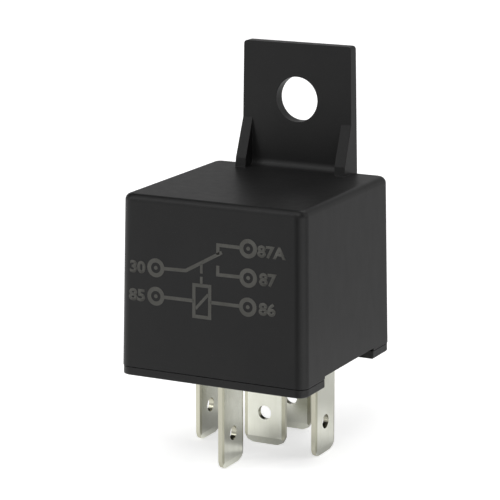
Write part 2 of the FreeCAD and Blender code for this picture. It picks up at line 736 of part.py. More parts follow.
# Magnet
def make_yoke():
    """The yoke: a bent iron strip with a foot under the coil and an upright in front of it."""
    body = new_body("yoke")
    profile = sketch_on(body, "yoke_profile", "YZ_Plane")
    rear = "coil_place + foot_past"
    outline(profile, [
        ("-hinge_offset", "plate_level"),
        (rear, "plate_level"),
        (rear, "foot_top"),
        ("-hinge_offset + yoke_thickness", "foot_top"),
        ("-hinge_offset + yoke_thickness", "hinge_level"),
        ("-hinge_offset", "hinge_level"),
    ])
    strip = extrude(body, "Pad", "yoke_strip", profile, "yoke_width", both=True)
    outside = edges_at(strip, y=["-hinge_offset"], z=["plate_level"], along="x")
    dress(body, "Fillet", "yoke_bend", strip, outside, "yoke_thickness * 0.8")

    # The foot is narrower than the upright
    trim = sketch_on(body, "foot_trim", "XY_Plane", "plate_level - 1")
    for side in ("", "-"):
        outline(trim, [
            (side + "(foot_width / 2)", "-hinge_offset + yoke_thickness"),
            (side + "(yoke_width)", "-hinge_offset + yoke_thickness"),
            (side + "(yoke_width)", rear + " + 1"),
            (side + "(foot_width / 2)", rear + " + 1"),
        ])
    extrude(body, "Pocket", "foot_sides", trim, "yoke_thickness + 1", back=True)

    # Guides that keep the armature in place
    guides = sketch_on(body, "guide_sections", "XY_Plane", "hinge_level - 0.5")
    for side in ("", "-"):
        outline(guides, [
            (side + "guide_place", "-hinge_offset"),
            (side + "(guide_place + guide_width)", "-hinge_offset"),
            (side + "(guide_place + guide_width)", "-hinge_offset + yoke_thickness"),
            (side + "guide_place", "-hinge_offset + yoke_thickness"),
        ])
    extrude(body, "Pad", "armature_guides", guides, "guide_height + 0.5")

    # Lug with a hole for the lower hook of the return spring
    lug = sketch_on(body, "lug_outline", "XY_Plane", "lug_level")
    rectangle(lug, "-hook_lug_width / 2", "hook_lug_width / 2",
              "spring_place - hook_front", "-hinge_offset + yoke_thickness / 2")
    extrude(body, "Pad", "spring_lug", lug, "hook_thickness")
    hook = sketch_on(body, "lug_hole_outline", "XY_Plane", "lug_level")
    rectangle(hook, "-hook_hole / 2", "hook_hole / 2",
              "spring_place + hook_back", "spring_place + hook_back + hook_hole")
    extrude(body, "Pocket", "spring_lug_hole", hook, "hook_thickness", back=True)

    # Holes for the core and for the tenon of terminal 30
    holes = sketch_on(body, "foot_holes", "XY_Plane", "plate_level - 1")
    circle(holes, "0", "coil_place", "core_tenon + 2 * core_gap")
    middle = "tenon_place - front_place"
    rectangle(holes, "-strip_thickness / 2 - core_gap", "strip_thickness / 2 + core_gap",
              middle + " - tenon_width / 2 - core_gap", middle + " + tenon_width / 2 + core_gap")
    extrude(body, "Pocket", "foot_bores", holes, "yoke_thickness + 1.5", back=True)
    return body


def make_core():
    """The core: a turned iron pin, riveted into the foot, with a wide pole face on top."""
    body = new_body("core", y="coil_place")
    half = sketch_on(body, "core_half", "XZ_Plane")
    outline(half, [
        ("0", "plate_level"),
        ("core_tenon / 2", "plate_level"),
        ("core_tenon / 2", "foot_top"),
        ("core_width / 2", "foot_top"),
        ("core_width / 2", "bobbin_top"),
        ("pole_width / 2", "bobbin_top"),
        ("pole_width / 2", "pole_face - 0.2"),
        ("pole_width / 2 - 0.2", "pole_face"),
        ("0", "pole_face"),
    ])
    revolve(body, "core_turned", half)
    return body


def make_bobbin():
    """The bobbin: a moulded spool whose lower flange has an ear for each coil terminal."""
    body = new_body("bobbin", y="coil_place")
    half = sketch_on(body, "bobbin_half", "XZ_Plane")
    bore = "core_width / 2 + core_gap"
    outline(half, [
        (bore, "foot_top"),
        ("flange_width / 2", "foot_top"),
        ("flange_width / 2", "winding_low"),
        ("bobbin_tube / 2", "winding_low"),
        ("bobbin_tube / 2", "winding_high"),
        ("flange_width / 2", "winding_high"),
        ("flange_width / 2", "bobbin_top"),
        (bore, "bobbin_top"),
    ])
    revolve(body, "bobbin_spool", half)
    ears = sketch_on(body, "ear_outline", "XY_Plane", "foot_top")
    low = "side_place - coil_place - ear_width / 2"
    high = "side_place - coil_place + ear_width / 2"
    for side in ("", "-"):
        outline(ears, [
            (side + "(flange_width / 2 - 2.5)", low),
            (side + "ear_reach", low),
            (side + "ear_reach", high),
            (side + "(flange_width / 2 - 2.5)", high),
        ])
    eared = extrude(body, "Pad", "bobbin_ears", ears, "flange_thickness")
    ends = edges_at(eared, x=["ear_reach", "-ear_reach"], along="z")
    dress(body, "Fillet", "ear_corners", eared, ends, "edge_round * 3")
    slots = sketch_on(body, "ear_slots", "XY_Plane", "winding_low + 1")
    middle = "side_place - coil_place"
    for side in ("", "-"):
        outline(slots, [
            (side + "(side_pitch - strip_thickness / 2 - slot_gap)", middle + " - tag_width / 2 - slot_gap"),
            (side + "(side_pitch + strip_thickness / 2 + slot_gap)", middle + " - tag_width / 2 - slot_gap"),
            (side + "(side_pitch + strip_thickness / 2 + slot_gap)", middle + " + tag_width / 2 + slot_gap"),
            (side + "(side_pitch - strip_thickness / 2 - slot_gap)", middle + " + tag_width / 2 + slot_gap"),
        ])
    extrude(body, "Pocket", "ear_tag_slots", slots, "flange_thickness + 1.5")
    return body


def make_sleeve(label, inner, outer, low, high):
    """A plain sleeve about the coil's axis: the winding or the tape round it."""
    body = new_body(label, y="coil_place")
    half = sketch_on(body, label + "_half", "XZ_Plane")
    rectangle(half, inner, outer, low, high)
    revolve(body, label + "_sleeve", half)
    return body


def make_lead(label, side):
    """A coil end: enamelled wire from the winding to its tag, with a cone of solder at the tag."""
    body = new_body(label, y="side_place", z="lead_level")
    half = sketch_on(body, label + "_half", "XZ_Plane")
    face = "side_pitch - strip_thickness / 2 - core_gap"
    cone = face + " - solder_width * 0.6"
    start = "sqrt((tape_width / 2)^2 - (side_place - coil_place)^2) + 0.1"
    outline(half, [
        (side + "(" + start + ")", "0"),
        (side + "(" + face + ")", "0"),
        (side + "(" + face + ")", "solder_width / 2"),
        (side + "(" + cone + ")", "lead_width / 2"),
        (side + "(" + start + ")", "lead_width / 2"),
    ])
    revolve(body, label + "_wire", half, "H_Axis")
    return body


# Armature and contacts
def make_armature():
    """The armature: an iron plate on the yoke's edge, with slots for the guides and a coined tail."""
    body = swinging_body("armature")
    plate = sketch_on(body, "armature_outline", "XY_Plane", "pivot_gap")
    outline(plate, [
        ("-yoke_width / 2", "-armature_front"),
        ("-hook_lug_width / 2", "-armature_front"),
        ("-hook_lug_width / 2", "-spring_offset - hook_front"),
        ("hook_lug_width / 2", "-spring_offset - hook_front"),
        ("hook_lug_width / 2", "-armature_front"),
        ("yoke_width / 2", "-armature_front"),
        ("yoke_width / 2", "armature_length - yoke_width / 8"),
        ("yoke_width * 3 / 8", "armature_length"),
        ("-yoke_width * 3 / 8", "armature_length"),
        ("-yoke_width / 2", "armature_length - yoke_width / 8"),
    ])
    extrude(body, "Pad", "armature_plate", plate, "armature_thickness")
    tail = sketch_on(body, "tail_step", "XY_Plane", "tail_top")
    rectangle(tail, "-hook_lug_width / 2", "hook_lug_width / 2", "-spring_offset - hook_front - 1", "-0.05")
    extrude(body, "Pocket", "tail_coining", tail, "armature_thickness", back=True)
    slots = sketch_on(body, "slot_outlines", "XY_Plane")
    for side in ("", "-"):
        outline(slots, [
            (side + "(guide_place - guide_gap)", "-guide_gap"),
            (side + "(guide_place + guide_width + guide_gap)", "-guide_gap"),
            (side + "(guide_place + guide_width + guide_gap)", "yoke_thickness + guide_gap"),
            (side + "(guide_place - guide_gap)", "yoke_thickness + guide_gap"),
        ])
    rectangle(slots, "-hook_hole / 2", "hook_hole / 2",
              "-spring_offset + hook_back", "-spring_offset + hook_back + hook_hole")
    circle(slots, "0", "leaf_start + 2", "rivet_shank + 2 * core_gap")
    circle(slots, "0", "leaf_start + 2 + rivet_pitch", "rivet_shank + 2 * core_gap")
    extrude(body, "Pocket", "armature_slots", slots, "armature_thickness + 1", back=True)
    return body


def make_leaf():
    """The contact spring: a flat leaf riveted on the armature, tapered towards the contact."""
    body = swinging_body("contact_spring")
    leaf = sketch_on(body, "leaf_outline", "XY_Plane", "leaf_level")
    outline(leaf, [
        ("-leaf_width / 2", "leaf_start"),
        ("leaf_width / 2", "leaf_start"),
        ("leaf_width / 2", "armature_length"),
        ("leaf_tip / 2", "contact_reach"),
        ("leaf_tip / 2", "contact_reach + leaf_past - leaf_tip / 5"),
        ("leaf_tip * 3 / 10", "contact_reach + leaf_past"),
        ("-leaf_tip * 3 / 10", "contact_reach + leaf_past"),
        ("-leaf_tip / 2", "contact_reach + leaf_past - leaf_tip / 5"),
        ("-leaf_tip / 2", "contact_reach"),
        ("-leaf_width / 2", "armature_length"),
    ])
    circle(leaf, "0", "leaf_start + 2", "rivet_shank + 2 * core_gap")
    circle(leaf, "0", "leaf_start + 2 + rivet_pitch", "rivet_shank + 2 * core_gap")
    circle(leaf, "0", "contact_reach", "contact_shank + 2 * core_gap")
    extrude(body, "Pad", "leaf", leaf, "leaf_thickness")
    return body


def make_leaf_rivet(label, place):
    """A rivet that holds the leaf on the armature: flush below, with a round head above."""
    body = swinging_body(label)
    half = sketch_on(body, label + "_half", "XY_Plane")
    half.AttachmentSupport = [(origin_part(body, "YZ_Plane"), "")]
    middle = place
    top = "leaf_level + leaf_thickness"
    outline(half, [
        (middle, "pivot_gap"),
        (middle + " + rivet_shank / 2", "pivot_gap"),
        (middle + " + rivet_shank / 2", top),
        (middle + " + rivet_head / 2", top),
        (middle + " + rivet_head / 2", top + " + rivet_rise / 2"),
        (middle + " + rivet_head / 3", top + " + rivet_rise"),
        (middle, top + " + rivet_rise"),
    ])
    feature = body.newObject("PartDesign::Revolution", label + "_turned")
    feature.Profile = half
    feature.ReferenceAxis = (half, ["Edge7"])
    feature.Angle = 360
    doc.recompute()
    return body


def make_contact(body, name, plane_y, levels, wide_low, wide_high):
    """A contact rivet turned about an upright axis: two heads and a shank, with crowned faces.

    levels names its bottom, the strip's two faces and its top, as formulas."""
    low, strip_low, strip_high, high = levels
    half = sketch_on(body, name + "_half", "YZ_Plane")
    outline(half, [
        (plane_y, low),
        (plane_y + " + " + wide_low + " / 2 - 0.3", low),
        (plane_y + " + " + wide_low + " / 2", low + " + contact_crown"),
        (plane_y + " + " + wide_low + " / 2", strip_low),
        (plane_y + " + contact_shank / 2", strip_low),
        (plane_y + " + contact_shank / 2", strip_high),
        (plane_y + " + " + wide_high + " / 2", strip_high),
        (plane_y + " + " + wide_high + " / 2", high + " - contact_crown"),
        (plane_y + " + " + wide_high + " / 2 - 0.3", high),
        (plane_y, high),
    ])
    feature = body.newObject("PartDesign::Revolution", name + "_turned")
    feature.Profile = half
    feature.ReferenceAxis = (half, ["Edge10"])
    feature.Angle = 360
    doc.recompute()
    return body


def make_contacts():
    """The moving contact and the two fixed ones."""
    moving = swinging_body("moving_contact")
    make_contact(moving, "moving_contact", "contact_reach",
                 ["leaf_level - contact_below", "leaf_level", "leaf_level + leaf_thickness", "moving_top"],
                 "contact_width", "contact_width")
    lower = new_body("fixed_contact_open")
    make_contact(lower, "fixed_contact_open", "contact_place",
                 ["pad_level - tail_rivet", "pad_level", "pad_top", "lower_face"],
                 "rivet_head", "contact_width")
    upper = new_body("fixed_contact_closed")
    make_contact(upper, "fixed_contact_closed", "contact_place",
                 ["upper_face", "arm_level", "arm_level + strip_thickness",
                  "arm_level + strip_thickness + tail_rivet"],
                 "contact_width", "rivet_head")
    return [moving, lower, upper]


def make_return_spring():
    """The return spring: a coil between two half-ring hooks, one hexagonal wire swept along its line."""
    radius = number("spring_radius")
    middle = number("spring_place")
    low_hook = number("low_hook")
    high_hook = number("high_hook")
    low = number("spring_low")
    rise = number("spring_high - spring_low")
    turns = int(number("spring_turns"))
    steps = int(number("spring_steps"))
    places = []
    for step in range(steps // 2 + 1):
        angle = math.pi * (1 + 2 * step / steps)
        places.append((0, middle + radius * math.cos(angle), low_hook + radius * math.sin(angle)))
    for step in range(turns * steps + 1):
        angle = 2 * math.pi * step / steps
        level = low + rise * step / (turns * steps)
        places.append((radius * math.sin(angle), middle + radius * math.cos(angle), level))
    for step in range(steps // 2 + 1):
        angle = math.pi * 2 * step / steps
        places.append((0, middle + radius * math.cos(angle), high_hook + radius * math.sin(angle)))
    line = doc.addObject("Part::Polygon", "spring_line")
    line.Nodes = [FreeCAD.Vector(*place) for place in places]
    section = doc.addObject("Part::RegularPolygon", "spring_section")
    section.Polygon = 6
    section.setExpression("Circumradius", formula("spring_wire / 2"))
    section.setExpression("Placement.Base.y", formula("spring_place - spring_radius"))
    section.setExpression("Placement.Base.z", formula("low_hook"))
    doc.recompute()
    sweep = doc.addObject("Part::Sweep", "return_spring")
    sweep.Label = "return_spring"
    sweep.Sections = [section]
    sweep.Spine = (line, [f"Edge{index + 1}" for index in range(len(places) - 1)])
    sweep.Solid = True
    sweep.Frenet = False
    sweep.Transition = "Right corner"
    doc.recompute()
    return sweep


# Assembly
write_sheet()
nodes = [
    make_cover(),
    make_base(),
    make_common_terminal(),
    make_coil_terminal("terminal_85", "-"),
    make_coil_terminal("terminal_86", ""),
    make_open_terminal(),
    make_closed_terminal(),
    make_yoke(),
    make_core(),
    make_bobbin(),
    make_sleeve("winding", "bobbin_tube / 2 + winding_gap", "winding_width / 2",
                "winding_low + winding_gap", "winding_high - winding_gap"),
    make_sleeve("coil_tape", "winding_width / 2 + 0.01", "tape_width / 2",
                "winding_low + 2 * winding_gap", "winding_high - 2 * winding_gap"),
    make_lead("coil_lead_85", "-"),
    make_lead("coil_lead_86", ""),
    make_armature(),
    make_leaf(),
    make_leaf_rivet("leaf_rivet_front", "leaf_start + 2"),
    make_leaf_rivet("leaf_rivet_rear", "leaf_start + 2 + rivet_pitch"),
    make_return_spring(),
]
nodes += make_contacts()
doc.recompute()

# Export
for thing in doc.Objects:
    if "Invalid" in thing.State or "Error" in thing.State:
        raise ValueError(thing.Name + " failed: " + str(thing.State))
for node in nodes:
    shape = node.Shape
    if shape.isNull() or not shape.isValid() or len(shape.Solids) != 1:
        raise ValueError(f"{node.Label} isn't one valid solid: {len(shape.Solids)}")
    shape.exportStep("parts/" + node.Label + ".step")
    box = shape.BoundBox
    print(f"{node.Label}: volume {shape.Volume:.1f}, x {box.XMin:.2f} {box.XMax:.2f}, "
          f"y {box.YMin:.2f} {box.YMax:.2f}, z {box.ZMin:.2f} {box.ZMax:.2f}")
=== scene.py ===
# %% [markdown]
# An automotive relay, dressed for a picture
#
# The solids of this five-pin relay come from a CAD model, already packed with their motion.
# This lesson gives them their looks: black moulded nylon, tin-plated blades, the magnet and the
# contacts inside, and the circuit diagram that is marked on the front face. Every length is in
# metres, in the CAD model's own frame: +X to the right along the marked face, +Y into the depth,
# +Z up, and the blade tips stand at height zero.

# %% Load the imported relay
import math

import bmesh
import bpy
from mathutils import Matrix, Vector


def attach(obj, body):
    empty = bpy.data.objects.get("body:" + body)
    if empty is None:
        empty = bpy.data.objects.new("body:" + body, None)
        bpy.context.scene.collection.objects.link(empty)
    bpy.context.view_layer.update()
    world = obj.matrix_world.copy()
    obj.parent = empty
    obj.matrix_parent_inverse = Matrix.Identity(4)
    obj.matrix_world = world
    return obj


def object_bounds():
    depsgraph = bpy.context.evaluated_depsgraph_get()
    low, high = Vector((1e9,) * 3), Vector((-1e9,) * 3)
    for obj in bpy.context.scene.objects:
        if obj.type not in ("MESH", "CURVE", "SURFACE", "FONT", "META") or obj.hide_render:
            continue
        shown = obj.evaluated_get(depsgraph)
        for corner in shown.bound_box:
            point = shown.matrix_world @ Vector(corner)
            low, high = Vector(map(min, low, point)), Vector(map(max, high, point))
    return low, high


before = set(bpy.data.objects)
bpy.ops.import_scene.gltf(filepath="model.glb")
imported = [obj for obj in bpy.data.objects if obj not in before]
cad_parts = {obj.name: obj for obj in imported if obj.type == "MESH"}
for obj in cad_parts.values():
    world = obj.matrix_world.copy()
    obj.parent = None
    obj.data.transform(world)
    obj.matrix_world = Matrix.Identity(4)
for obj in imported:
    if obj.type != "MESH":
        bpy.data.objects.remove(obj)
cad_low, cad_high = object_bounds()
MM = 0.001
cad_size = [round(side / MM, 2) for side in cad_high - cad_low]
print("relay:", len(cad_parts), "solids,", cad_size, "mm over all")

# %% [markdown]
# The camera comes first, because every later choice is judged through it. Fitted to the edges in
# the photograph, it stands a third of a metre away with a long lens, a little above the relay and
# to its right. A camera can be placed by hand, but here it is placed by its direction and
# distance, because those numbers say what they mean and can be changed one at a time. The
# Standard view transform shows each colour as it is written, with no film curve over it.

# %% Camera
AZIMUTH = math.radians(26.766)
ELEVATION = math.radians(13.05)
DISTANCE = 335.198 * MM
RAIL_LEVEL = 12.65 * MM
AIM_LEFT, AIM_UP = 1.062 * MM, 15.451 * MM
SENSOR_WIDTH, LENS = 36.0, 173.6

backwards = Vector((
    math.sin(AZIMUTH) * math.cos(ELEVATION),
    -math.cos(AZIMUTH) * math.cos(ELEVATION),
    math.sin(ELEVATION),
))
rightwards = Vector((math.cos(AZIMUTH), math.sin(AZIMUTH), 0))
upwards = backwards.cross(rightwards)
aim = Vector((0, 0, RAIL_LEVEL)) - AIM_LEFT * rightwards + AIM_UP * upwards

lens_data = bpy.data.cameras.new("relay_camera")
lens_data.sensor_width = SENSOR_WIDTH
lens_data.lens = LENS
lens_data.clip_start = 0.01
lens_data.clip_end = 20.0
camera = bpy.data.objects.new("relay_camera", lens_data)
camera.rotation_mode = "QUATERNION"
camera.location = aim + DISTANCE * backwards
camera.rotation_quaternion = (-backwards).to_track_quat("-Z", "Y")
bpy.context.scene.collection.objects.link(camera)
bpy.context.scene.camera = camera
bpy.context.scene.view_settings.view_transform = "Standard"
print("camera stands at", [round(v / MM, 1) for v in camera.location], "mm")

# %% [markdown]
# A material in Blender is a small graph of nodes. Each finish below needs the same few steps, such
# as a noise pattern laid over the surface, a ramp that turns it into two colours, and a bump.
# They could be wired by hand each time. Short helpers keep every finish readable: one line for
# one step of the graph, and the numbers that matter are seen at a glance.


# %% Helpers for wiring a finish
class Finish:
    """A node material under construction, with its shader and a few steps named in plain words."""

    def __init__(self, name):
        self.material = bpy.data.materials.new(name)
        self.material.use_nodes = True
        self.nodes = self.material.node_tree.nodes
        self.links = self.material.node_tree.links
        self.shader = self.nodes["Principled BSDF"]
        self.place = self.nodes.new("ShaderNodeTexCoord").outputs["Object"]

    def set(self, **values):
        """Write constants straight on the shader's own sockets."""
        for name, value in values.items():
            self.shader.inputs[name.replace("_", " ")].default_value = value

    def join(self, output, socket):
        """Lead an output to one of the shader's sockets."""
        self.links.new(output, self.shader.inputs[socket])

    def math(self, kind, first, second=0.5, third=0.0):
        """One step of arithmetic on numbers or outputs."""
        node = self.nodes.new("ShaderNodeMath")
        node.operation = kind
        for socket, value in zip(node.inputs, (first, second, third)):
            if isinstance(value, (int, float)):
                socket.default_value = value
            else:
                self.links.new(value, socket)
        return node.outputs[0]

    def stretched(self, along_x, along_y, along_z):
        """Object coordinates, each axis multiplied, so that a pattern can run along one of them."""
        node = self.nodes.new("ShaderNodeMapping")
        node.inputs["Scale"].default_value = (along_x, along_y, along_z)
        self.links.new(self.place, node.inputs["Vector"])
        return node.outputs["Vector"]

    def noise(self, size, detail=2.0, roughness=0.5, where=None):
        """Cloudy noise whose spots are about this many metres across."""
        node = self.nodes.new("ShaderNodeTexNoise")
        node.inputs["Scale"].default_value = 1.0 / size
        node.inputs["Detail"].default_value = detail
        node.inputs["Roughness"].default_value = roughness
        self.links.new(where or self.place, node.inputs["Vector"])
        return node.outputs["Fac"]

    def between(self, value, low, high, start=0.0, end=1.0):
        """Stretch the part of a value from low to high over the range from start to end."""
        node = self.nodes.new("ShaderNodeMapRange")
        node.clamp = True
        limits = {"From Min": low, "From Max": high, "To Min": start, "To Max": end}
        for name, number in limits.items():
            node.inputs[name].default_value = number
        self.links.new(value, node.inputs["Value"])
        return node.outputs["Result"]

    def blend(self, mask, first, second):
        """Two colours, or colour outputs, mixed by a mask."""
        node = self.nodes.new("ShaderNodeMix")
        node.data_type = "RGBA"
        self.links.new(mask, node.inputs["Factor"])
        for socket, colour in (("A", first), ("B", second)):
            target = [s for s in node.inputs if s.name == socket and s.type == "RGBA"][0]
            if isinstance(colour, tuple):
                target.default_value = (*colour, 1.0)
            else:
                self.links.new(colour, target)
        return [s for s in node.outputs if s.type == "RGBA"][0]

    def bump(self, height, depth, strength=1.0, after=None):
        """Turn a height from 0 to 1 into a relief this many metres deep."""
        node = self.nodes.new("ShaderNodeBump")
        node.inputs["Strength"].default_value = strength
        node.inputs["Distance"].default_value = depth
        self.links.new(height, node.inputs["Height"])
        if after:
            self.links.new(after, node.inputs["Normal"])
        return node.outputs["Normal"]

    def facing(self, axis):
        """How squarely the true face looks along X (0), Y (1) or Z (2), from 0 to 1."""
        true_normal = self.nodes.new("ShaderNodeNewGeometry").outputs["True Normal"]
        split = self.nodes.new("ShaderNodeSeparateXYZ")
        self.links.new(true_normal, split.inputs[0])
        return self.math("ABSOLUTE", split.outputs[axis])

    def rounded(self, radius):
        """The surface's normal, as if its sharp edges were rounded by this many metres."""
        bevel = self.nodes.new("ShaderNodeBevel")
        bevel.samples = 6
        bevel.inputs["Radius"].default_value = radius
        return bevel.outputs["Normal"]

    def edges(self, rounded):
        """A mask that is 1 on sharp edges, where the rounded normal leaves the surface's own."""
        own_normal = self.nodes.new("ShaderNodeNewGeometry").outputs["Normal"]
        product = self.nodes.new("ShaderNodeVectorMath")
        product.operation = "DOT_PRODUCT"
        self.links.new(rounded, product.inputs[0])
        self.links.new(own_normal, product.inputs[1])
        on_face, on_edge = 0.995, 0.75
        return self.between(product.outputs["Value"], on_face, on_edge)


def give(finish, *names):
    """Put a finish on the material slots of CAD solids."""
    for name in names:
        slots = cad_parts[name].data.materials
        for index in range(len(slots)):
            slots[index] = finish.material
        if not len(slots):
            slots.append(finish.material)
    print(finish.material.name, "on", ", ".join(names))


# %% [markdown]
# A cover like this is moulded from black, glass-filled nylon in a steel mould with a fine
# spark-eroded grain. Its black is never one flat value: the grain scatters light, broad faint
# clouds show where the melt flowed, glass fibres near the skin leave short pale flecks, and
# handling polishes the edges. Noise at five sizes gives the patterns and a mask on the sharp edges
# the polish. The level faces are made a little rougher, which spreads the sheen on the roof. A
# picture of plastic could be wrapped round it instead, but a pattern made from the position has
# no seams and stays sharp at any distance.


# %% Black moulded nylon
FIBRE_GREY = (0.11, 0.11, 0.105)
RUBBED_GREY = (0.032, 0.032, 0.031)


def black_nylon(name, dark, light, grain, fleck):
    """Black nylon between two greys, with a mould grain of that depth and a share of pale flecks."""
    finish = Finish(name)
    clouds = finish.noise(9 * MM, 3.0)
    skin = finish.blend(finish.between(clouds, 0.3, 0.7), dark, light)
    fibres = finish.noise(0.22 * MM, 2.0, 0.6, finish.stretched(1.0, 0.55, 1.6))
    flecked = finish.blend(finish.between(fibres, 0.66, 0.78, start=0.0, end=fleck), skin, FIBRE_GREY)
    rounded = finish.rounded(0.12 * MM)
    edge = finish.edges(rounded)
    rubbed = finish.blend(finish.math("MULTIPLY", edge, 0.35), flecked, RUBBED_GREY)
    finish.join(rubbed, "Base Color")

    scuffs = finish.noise(1.4 * MM, 4.0, 0.65, finish.stretched(1.0, 1.0, 0.3))
    matt = finish.between(scuffs, 0.35, 0.7, start=0.35, end=0.39)
    worn = finish.math("SUBTRACT", matt, finish.math("MULTIPLY", edge, 0.06))
    level_faces = finish.between(finish.facing(2), 0.97, 0.998, start=0.0, end=0.07)
    finish.join(finish.math("ADD", worn, level_faces), "Roughness")

    sparks = finish.noise(0.11 * MM, 3.0, 0.6)
    sink = finish.noise(6 * MM, 1.0)
    relief = finish.bump(sink, 0.012 * MM, 0.35, rounded)
    finish.join(finish.bump(sparks, grain, 0.5, relief), "Normal")
    finish.set(IOR=1.5, Specular_IOR_Level=0.21)
    return finish


cover_nylon = black_nylon(
    "cover_nylon",
    dark=(0.0104, 0.0104, 0.0107),
    light=(0.0130, 0.0130, 0.0130),
    grain=0.008 * MM,
    fleck=0.15,
)
give(cover_nylon, "cover")

# %% [markdown]
# The base is a separate moulding. It gets the same recipe with its own numbers, a finer grain and a
# slightly paler black, so that the seam between the two mouldings shows as a change of finish and
# not only as a line.

# %% The base's nylon
base_nylon = black_nylon(
    "base_nylon",
    dark=(0.0120, 0.0120, 0.0124),
    light=(0.0145, 0.0145, 0.0145),
    grain=0.006 * MM,
    fleck=0.10,
)
give(base_nylon, "base")

# %% [markdown]
# Blades like these are punched from brass strip that was tinned first. Tin is pale, slightly warm
# and silky, with streaks along the rolling direction and small cloudy patches where it froze. The
# narrow edges, where the punch sheared the strip, are darker and warmer. The bevels that the die
# pressed beside them get a darker, warmer colour too, which is painted shade for the dim things
# that they mirror. The streaks are noise whose coordinates are squeezed along Z. Edges and bevels
# are told by the direction that a face looks in, so they need no mask drawn in an image, and each
# blade only has to say which way its width runs.


# %% Tin-plated blades
TIN, TIN_CLOUD = (0.76, 0.765, 0.685), (0.70, 0.705, 0.615)
TIN_STREAK = (0.62, 0.625, 0.535)
# The bevels' dark colour is painted shade.
BEVEL_PAINTED_SHADE, SHEARED_EDGE = (0.37, 0.36, 0.27), (0.50, 0.49, 0.40)


def tinned_blade(name, width_axis):
    """Tin plate on brass strip whose width runs along X (0) or Y (1)."""
    finish = Finish(name)
    streaks = finish.noise(0.20 * MM, 3.0, 0.6, finish.stretched(1.0, 1.0, 0.05))
    patches = finish.noise(1.7 * MM, 3.0, 0.55)
    clouded = finish.blend(finish.between(patches, 0.3, 0.72), TIN, TIN_CLOUD)
    drawn = finish.blend(finish.between(streaks, 0.35, 0.75, start=0.0, end=0.35), clouded, TIN_STREAK)

    across = finish.facing(width_axis)
    # Painted shade: the bevels are given a darker, warmer colour than the tin round them.
    bevel_shaded = finish.blend(finish.between(across, 0.08, 0.14, start=0.0, end=0.8), drawn, BEVEL_PAINTED_SHADE)
    sheared = finish.blend(finish.between(across, 0.75, 0.95, start=0.0, end=0.9), bevel_shaded, SHEARED_EDGE)
    finish.join(sheared, "Base Color")

    silk = finish.between(streaks, 0.3, 0.8, start=0.14, end=0.20)
    finish.join(finish.math("ADD", silk, finish.math("MULTIPLY", patches, 0.06)), "Roughness")
    waves = finish.bump(finish.noise(2.6 * MM, 2.0), 0.02 * MM, 0.5, finish.rounded(0.035 * MM))
    finish.join(finish.bump(streaks, 0.0015 * MM, 0.5, waves), "Normal")
    finish.set(Metallic=1.0)
    return finish


tin_across_depth = tinned_blade("tin_across_depth", 1)
tin_across_width = tinned_blade("tin_across_width", 0)
give(tin_across_depth, "terminal_30", "terminal_85", "terminal_86")
give(tin_across_width, "terminal_87", "terminal_87a")

# %% [markdown]
# Inside, the magnet is soft iron under a thin coat of zinc. Zinc plate is a cool grey with a
# yellowish passivation that drifts over the surface, and it keeps the fine lines of the rolled
# sheet. Noise stretched along one axis draws the lines. The armature gets the same recipe with
# shorter lines and less yellow.


# %% Zinc-plated iron
ZINC_PALE, ZINC_DULL = (0.56, 0.56, 0.54), (0.46, 0.46, 0.45)
PASSIVATION = (0.60, 0.52, 0.30)
LINE_SIZE = 0.12 * MM


def zinc_plate(name, line_length, yellow):
    """Zinc on iron, with rolling lines of that length and a share of yellow passivation."""
    finish = Finish(name)
    drift = finish.noise(3.2 * MM, 3.0, 0.6)
    lines = finish.noise(LINE_SIZE, 2.0, 0.5, finish.stretched(1.0, LINE_SIZE / line_length, 1.0))
    cool = finish.blend(finish.between(lines, 0.3, 0.7), ZINC_PALE, ZINC_DULL)
    tint = finish.between(drift, 0.45, 0.75, start=0.0, end=yellow)
    finish.join(finish.blend(tint, cool, PASSIVATION), "Base Color")
    finish.join(finish.between(lines, 0.2, 0.8, start=0.30, end=0.46), "Roughness")
    finish.join(finish.bump(lines, 0.003 * MM, 0.6, finish.rounded(0.08 * MM)), "Normal")
    finish.set(Metallic=1.0)
    return finish


give(zinc_plate("zinc_on_yoke", line_length=2.0 * MM, yellow=0.6), "yoke", "core")
give(zinc_plate("zinc_on_armature", line_length=0.5 * MM, yellow=0.4), "armature")

# %% [markdown]
# The bobbin is natural nylon, a milky cream that lets some light in. Subsurface scattering gives
# the milk, and a faint darker cloud keeps its large flanges from looking like paper.

# %% Natural nylon of the bobbin
CREAM_DARK, CREAM_LIGHT = (0.72, 0.67, 0.54), (0.80, 0.76, 0.64)

bobbin_nylon = Finish("bobbin_nylon")
milk = bobbin_nylon.noise(2.5 * MM, 3.0)
bobbin_nylon.join(bobbin_nylon.blend(milk, CREAM_DARK, CREAM_LIGHT), "Base Color")
bobbin_nylon.join(bobbin_nylon.between(milk, 0.3, 0.7, start=0.42, end=0.55), "Roughness")
bobbin_grain = bobbin_nylon.noise(0.14 * MM, 2.0)
bobbin_nylon.join(bobbin_nylon.bump(bobbin_grain, 0.006 * MM, 0.5), "Normal")
bobbin_nylon.set(Subsurface_Weight=0.25, Subsurface_Scale=0.4 * MM)
give(bobbin_nylon, "bobbin")

# %% [markdown]
# The coil is wound with hair-thin enamelled wire, hundreds of turns that lie side by side. No one
# turn needs its own mesh. A wave along Z, one crest for each turn, gives the ribs of the wound
# layer, and the enamel over copper is a red-brown metal under a clear coat. The two coil ends are
# the same wire, and near the tags they turn into bright solder, which a mask along X puts there.


# %% Enamelled copper and solder
ENAMEL_DARK, ENAMEL_LIGHT = (0.45, 0.12, 0.045), (0.55, 0.19, 0.07)
SOLDER = (0.62, 0.62, 0.60)
WAVE_LENGTH = 2 * math.pi / 20  # one crest of Blender's wave texture at scale 1


